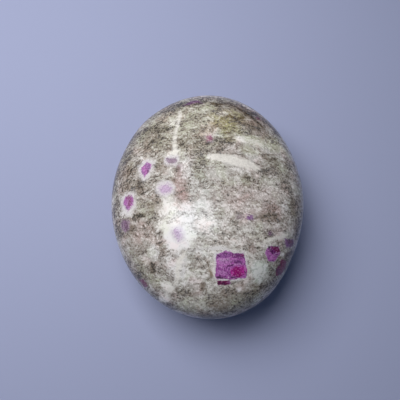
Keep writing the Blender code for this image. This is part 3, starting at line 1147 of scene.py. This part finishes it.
def rock_material(colours):
    """Speckled albite with its rubies, veins and patches, polished."""
    material = bpy.data.materials.new("speckled_albite_with_ruby")
    material.use_nodes = True
    tree = material.node_tree
    shader = tree.nodes["Principled BSDF"]
    start = Wire(tree)

    def attribute(name):
        return start.add("ShaderNodeAttribute", {"attribute_name": name}, None, 1)

    def paint(name):
        return tuple(getattr(colours, name))

    rock, beds = rock_places(start)
    ruby, veins, spread = attribute("ruby"), attribute("veins"), attribute("spread")

    flat = beds.stretched((0.40, 0.6, 1.0))
    crowd = flat.noise(CROWD, 2.0, 0.6) - 0.5
    flecks = flat.noise(FLECK, 2.0, 0.65) - 0.5
    dust = rock.noise(DUST, 1.0, 0.5) - 0.5
    grains, specks = beds.stretched((0.7, 0.8, 1.0)).cells(GRAIN), rock.cells(SPECK)
    dark_grain, light_grain = grains.part(0) - 0.5, grains.part(1) - 0.5
    dark_speck, light_speck = specks.part(0) - 0.5, specks.part(1) - 0.5
    cast = rock.noise(CAST, 2.0, 0.6) - 0.5
    drift = flat.noise(DRIFT, 1.0, 0.5) - 0.5

    ground = attribute("ground")
    ground = ground.covered(ground.stretched((1.09, 0.97, 0.97)), cast.step(0.0, 0.20))
    ground = ground.covered(ground.stretched((0.97, 1.02, 0.92)), cast.step(0.0, -0.20))
    load = 0.4 * drift + 1.3 * crowd + 0.9 * flecks + 0.36 * dark_grain + 0.42 * dark_speck
    load = load + spread.part(0)
    haze = load.step(-0.24, 0.20)
    dark = load.step(0.12, 0.40)
    light = 0.54 * light_grain + 0.46 * light_speck - 0.8 * flecks - 1.3 * crowd - spread.part(0)
    light = light.step(0.02, 0.42)
    colour = ground.covered(paint("white"), light * 0.45).dimmed(1.0 + 0.22 * light)
    colour = colour.covered(paint("mica_haze"), haze * 0.70)
    colour = colour.covered(paint("mica"), dark * 0.86)

    ragged = 1.3 * flecks + 1.1 * dust + 0.8 * crowd
    dark_vein = (veins.part(2) + ragged).step(0.40, -0.30)
    colour = colour.covered(colour.stretched((0.38, 0.32, 0.25)), dark_vein)
    cream = ground.covered(paint("cream"), 1.0).dimmed(1.0 + 0.16 * dark_grain + 0.3 * dust)
    white = ground.covered(paint("white"), 1.0).dimmed(1.0 + 0.12 * dark_grain + 0.3 * dust)
    colour = colour.covered(cream, (veins.part(0) + ragged).step(0.45, -0.40) * (0.97 - 0.2 * haze))
    colour = colour.covered(white, (veins.part(1) + ragged).step(0.26, -0.26) * 0.8)
    halo = (spread.part(1) + 0.7 * ragged).step(0.0, 0.80)
    colour = colour.covered(white, halo * 0.85)

    mottle = rock.noise(MOTTLE, 2.0, 0.6) - 0.5
    stone = attribute("ruby_colour").dimmed(1.0 + 1.2 * dust)
    stone = stone.covered(paint("parting"), mottle.step(0.04, 0.18) * ruby.part(2) * 0.6)
    stone = stone.covered(paint("plum_deep"), mottle.step(-0.04, -0.15) * ruby.part(2) * 0.75)
    edge = ruby.part(0) + 0.5 * dust + 0.3 * flecks  # millimetres outside the ruby, roughened
    colour = colour.covered(paint("lilac_pale"), edge.step(0.6, 0.0) * ruby.part(1) * halo * 0.2)
    body = edge.step(0.12, -0.12) * ruby.part(1)
    colour = colour.covered(stone, body)

    rough = POLISH_ROUGHNESS + MICA_ROUGHNESS * dark + CRACK_ROUGHNESS * spread.part(2)
    for name, wire in (("Base Color", colour), ("Roughness", rough)):
        tree.links.new(wire.socket, shader.inputs[name])
    bump = start.add(
        "ShaderNodeBump",
        None,
        {"Strength": 1.0, "Distance": PIT_DEPTH, "Height": flecks + dust - 0.5 * dark},
    )
    tree.links.new(bump.socket, shader.inputs["Normal"])
    shader.inputs["IOR"].default_value = FELDSPAR_IOR
    return material


class STONE_OT_polish(bpy.types.Operator):
    """Makes the polished stone in place of its plain solid"""

    bl_idname = "palm_stone.polish"
    bl_label = "Polished stone"

    def execute(self, context):
        scene = context.scene
        mesh = stone_mesh(scene.stone_sizes, scene.stone_colours, PhotoView(scene.stage_settings))
        mesh.materials.append(rock_material(scene.stone_colours))
        stone = bpy.data.objects.new("palm_stone_polished", mesh)
        scene.collection.objects.link(stone)
        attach(stone, "root")
        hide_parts(NODE)
        return {"FINISHED"}


FLOOR_HALF = 1.5  # metres from the middle of the floor to its edges
WINDOW_PLACE, PANEL_PLACE = (-0.092, 0.072, 0.224), (-0.064, -0.016, 0.370)  # metres
WINDOW_COLOUR, PANEL_COLOUR = (1.0, 0.99, 0.97), (0.80, 0.90, 1.0)
PANEL_SHAPE = 0.6  # its shorter side as a share of its longer


def pale_floor(colour):
    """A wide level floor in one plain pale finish."""
    bm = bmesh.new()
    bmesh.ops.create_grid(bm, x_segments=1, y_segments=1, size=FLOOR_HALF)
    mesh = bpy.data.meshes.new("floor")
    bm.to_mesh(mesh)
    bm.free()
    floor = bpy.data.objects.new("floor", mesh)
    material = bpy.data.materials.new("pale_floor")
    material.use_nodes = True
    shader = material.node_tree.nodes["Principled BSDF"]
    shader.inputs["Base Color"].default_value = (*colour, 1.0)
    shader.inputs["Roughness"].default_value = 0.9
    shader.inputs["Specular IOR Level"].default_value = 0.2
    mesh.materials.append(material)
    return floor


def soft_light(name, place, target, sides, power, colour, gloss):
    """A soft light that faces its target, and either lights it or is mirrored in its polish."""
    lamp = bpy.data.lights.new(name, "AREA")
    lamp.shape, lamp.energy, lamp.color = "RECTANGLE", power, colour
    lamp.size, lamp.size_y = sides
    light = bpy.data.objects.new(name, lamp)
    light.location = place
    light.rotation_euler = (Vector(target) - Vector(place)).to_track_quat("-Z", "Y").to_euler()
    light.visible_glossy, light.visible_diffuse = gloss, not gloss
    return light


NEAR_CLIP = 0.005  # metres from the lens


def photo_camera(stage):
    """A camera at the photograph's angle, with +Y upwards in the picture."""
    view = PhotoView(stage)
    lens = bpy.data.cameras.new("camera")
    lens.sensor_width, lens.lens, lens.clip_start = SENSOR_WIDTH, stage.lens, NEAR_CLIP
    camera = bpy.data.objects.new("camera", lens)
    camera.matrix_world = view.turn.to_4x4()
    camera.location = view.place
    return camera


class STONE_OT_stage(bpy.types.Operator):
    """Makes the floor, the soft lights and the camera"""

    bl_idname = "palm_stone.stage"
    bl_label = "Stage"

    def execute(self, context):
        scene, stage = context.scene, context.scene.stage_settings
        middle = Vector((0, 0, STONE_THICKNESS / 2))
        floor = pale_floor(stage.floor)
        window_sides = (stage.window_size, stage.window_size)
        panel_sides = (stage.panel_size * PANEL_SHAPE, stage.panel_size)
        window = soft_light(
            "window", WINDOW_PLACE, middle, window_sides, stage.window_power, WINDOW_COLOUR, False
        )
        panel = soft_light(
            "panel", PANEL_PLACE, middle, panel_sides, stage.panel_power, PANEL_COLOUR, True
        )
        camera = photo_camera(stage)
        for obj in (floor, window, panel, camera):
            scene.collection.objects.link(obj)
        scene.camera = camera
        world = bpy.data.worlds.new("soft_sky")
        world.use_nodes = True
        background = world.node_tree.nodes["Background"]
        background.inputs["Color"].default_value = (*stage.sky, 1.0)
        background.inputs["Strength"].default_value = stage.sky_strength
        scene.world = world
        scene.view_settings.view_transform = "Standard"
        return {"FINISHED"}


class STONE_PT_panel(bpy.types.Panel):
    """Shows the stone's sizes and colours and the stage settings, with buttons that make the stone and
    the stage
    """

    bl_idname = "STONE_PT_panel"
    bl_label = "Palm Stone"
    bl_space_type = "VIEW_3D"
    bl_region_type = "UI"
    bl_category = "Palm Stone"

    def draw(self, context):
        for settings in ("stone_sizes", "stone_colours", "stage_settings"):
            group = getattr(context.scene, settings)
            box = self.layout.box()
            for name in group.__annotations__:
                box.prop(group, name)
        self.layout.operator(STONE_OT_polish.bl_idname)
        self.layout.operator(STONE_OT_stage.bl_idname)


GROUPS = {"stone_sizes": StoneSizes, "stone_colours": StoneColours, "stage_settings": StageSettings}
CLASSES = (*GROUPS.values(), STONE_OT_polish, STONE_OT_stage, STONE_PT_panel)


def register():
    for cls in CLASSES:
        bpy.utils.register_class(cls)
    for name, group in GROUPS.items():
        setattr(bpy.types.Scene, name, PointerProperty(type=group))


def unregister():
    for name in GROUPS:
        delattr(bpy.types.Scene, name)
    for cls in reversed(CLASSES):
        bpy.utils.unregister_class(cls)


def main():
    register()
    bpy.ops.palm_stone.stage()
    bpy.ops.palm_stone.polish()


if __name__ == "__main__":
    main()
